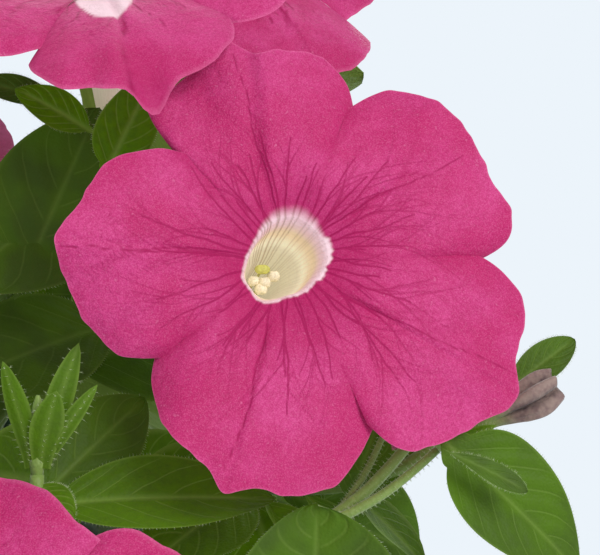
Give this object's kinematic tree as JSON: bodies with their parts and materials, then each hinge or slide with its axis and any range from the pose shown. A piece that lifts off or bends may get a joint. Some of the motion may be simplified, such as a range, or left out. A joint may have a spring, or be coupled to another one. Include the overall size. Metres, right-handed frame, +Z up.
{
  "type": "petunia hanging basket",
  "caption": "Plain hanging pot on a three-arm hanger with a hook, filled with soil and a mounded, trailing petunia in magenta-pink bloom.",
  "frame": {"origin": "where the hook bears on what it hangs from: the inside of the crook's top, over the middle of the pot", "axes": "+Z up along the middle of the pot, -Y towards the front flower's side, +X to the right as seen from the front"},
  "size_m": [0.3419, 0.3308, 0.4842],
  "materials": {
    "petal": "soft velvety sheen, darker branching veins",
    "stamen": "matte cream",
    "faded_petal": "dry, wrinkled",
    "leaf": "matte with fine pale hairs and pale veins",
    "soil": "coarse dark potting mix",
    "pot": "satin moulded plastic",
    "hanger": "satin moulded plastic"
  },
  "bodies": {
    "root": {"pot": "pot", "soil": "soil", "hanger_arm_1": "hanger", "hanger_arm_2": "hanger", "hanger_arm_3": "hanger", "hook": "hanger", "corolla_01": "petal", "corolla_02": "petal", "corolla_03": "petal", "corolla_04": "petal", "corolla_05": "petal", "corolla_06": "petal", "corolla_07": "petal", "corolla_08": "petal", "corolla_09": "petal", "corolla_10": "petal", "corolla_11": "petal", "corolla_12": "petal", "corolla_13": "petal", "corolla_14": "petal", "corolla_15": "petal", "corolla_16": "petal", "stamens_01": "stamen", "stamens_02": "stamen", "stamens_03": "stamen", "stamens_04": "stamen", "stamens_05": "stamen", "stamens_06": "stamen", "stamens_07": "stamen", "stamens_08": "stamen", "stamens_09": "stamen", "stamens_10": "stamen", "stamens_11": "stamen", "stamens_12": "stamen", "stamens_13": "stamen", "stamens_14": "stamen", "stamens_15": "stamen", "stamens_16": "stamen", "corolla_faded": "faded_petal", "shoot_01": "leaf", "shoot_02": "leaf", "shoot_03": "leaf", "shoot_04": "leaf", "shoot_05": "leaf", "shoot_06": "leaf", "shoot_07": "leaf", "shoot_08": "leaf", "shoot_09": "leaf", "shoot_10": "leaf", "shoot_11": "leaf", "shoot_12": "leaf", "shoot_13": "leaf", "shoot_14": "leaf", "shoot_15": "leaf", "shoot_16": "leaf", "shoot_bud": "leaf", "shoot_faded": "leaf", "shoot_leafy_1": "leaf", "shoot_leafy_2": "leaf", "shoot_leafy_3": "leaf"}
  },
  "joints": []
}
